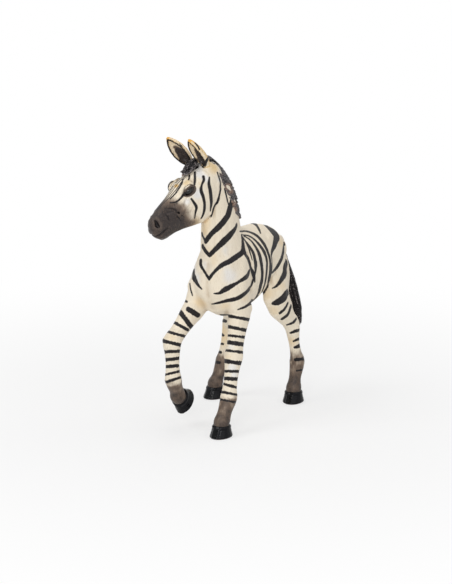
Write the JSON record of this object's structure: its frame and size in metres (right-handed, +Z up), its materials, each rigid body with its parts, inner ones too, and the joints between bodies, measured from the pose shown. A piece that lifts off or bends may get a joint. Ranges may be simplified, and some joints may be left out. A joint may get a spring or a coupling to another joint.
{
  "type": "toy zebra foal figure",
  "caption": "Moulded toy zebra foal in mid-step with one foreleg lifted, its head turned, an upright mane, a hanging tail and black hooves.",
  "frame": {"origin": "middle of the figure's footprint box, on the ground under the hooves", "axes": "+Z up, -Y the way the body faces, +X the figure's left side"},
  "size_m": [0.0318, 0.0712, 0.0944],
  "materials": {
    "coat": "hand-painted matte PVC, cream with black-brown stripes",
    "hair": "painted matte PVC with carved strands, black with a little brown",
    "hoof": "glossy black paint",
    "eye": "glossy black paint"
  },
  "bodies": {
    "root": {"torso": "coat", "neck": "coat", "head": "coat", "left_ear": "coat", "right_ear": "coat", "left_eye": "eye", "right_eye": "eye", "mane": "hair", "forelock": "hair", "tail": "hair", "left_fore_leg": "coat", "right_fore_leg": "coat", "left_hind_leg": "coat", "right_hind_leg": "coat", "left_fore_hoof": "hoof", "right_fore_hoof": "hoof", "left_hind_hoof": "hoof", "right_hind_hoof": "hoof"}
  },
  "joints": []
}
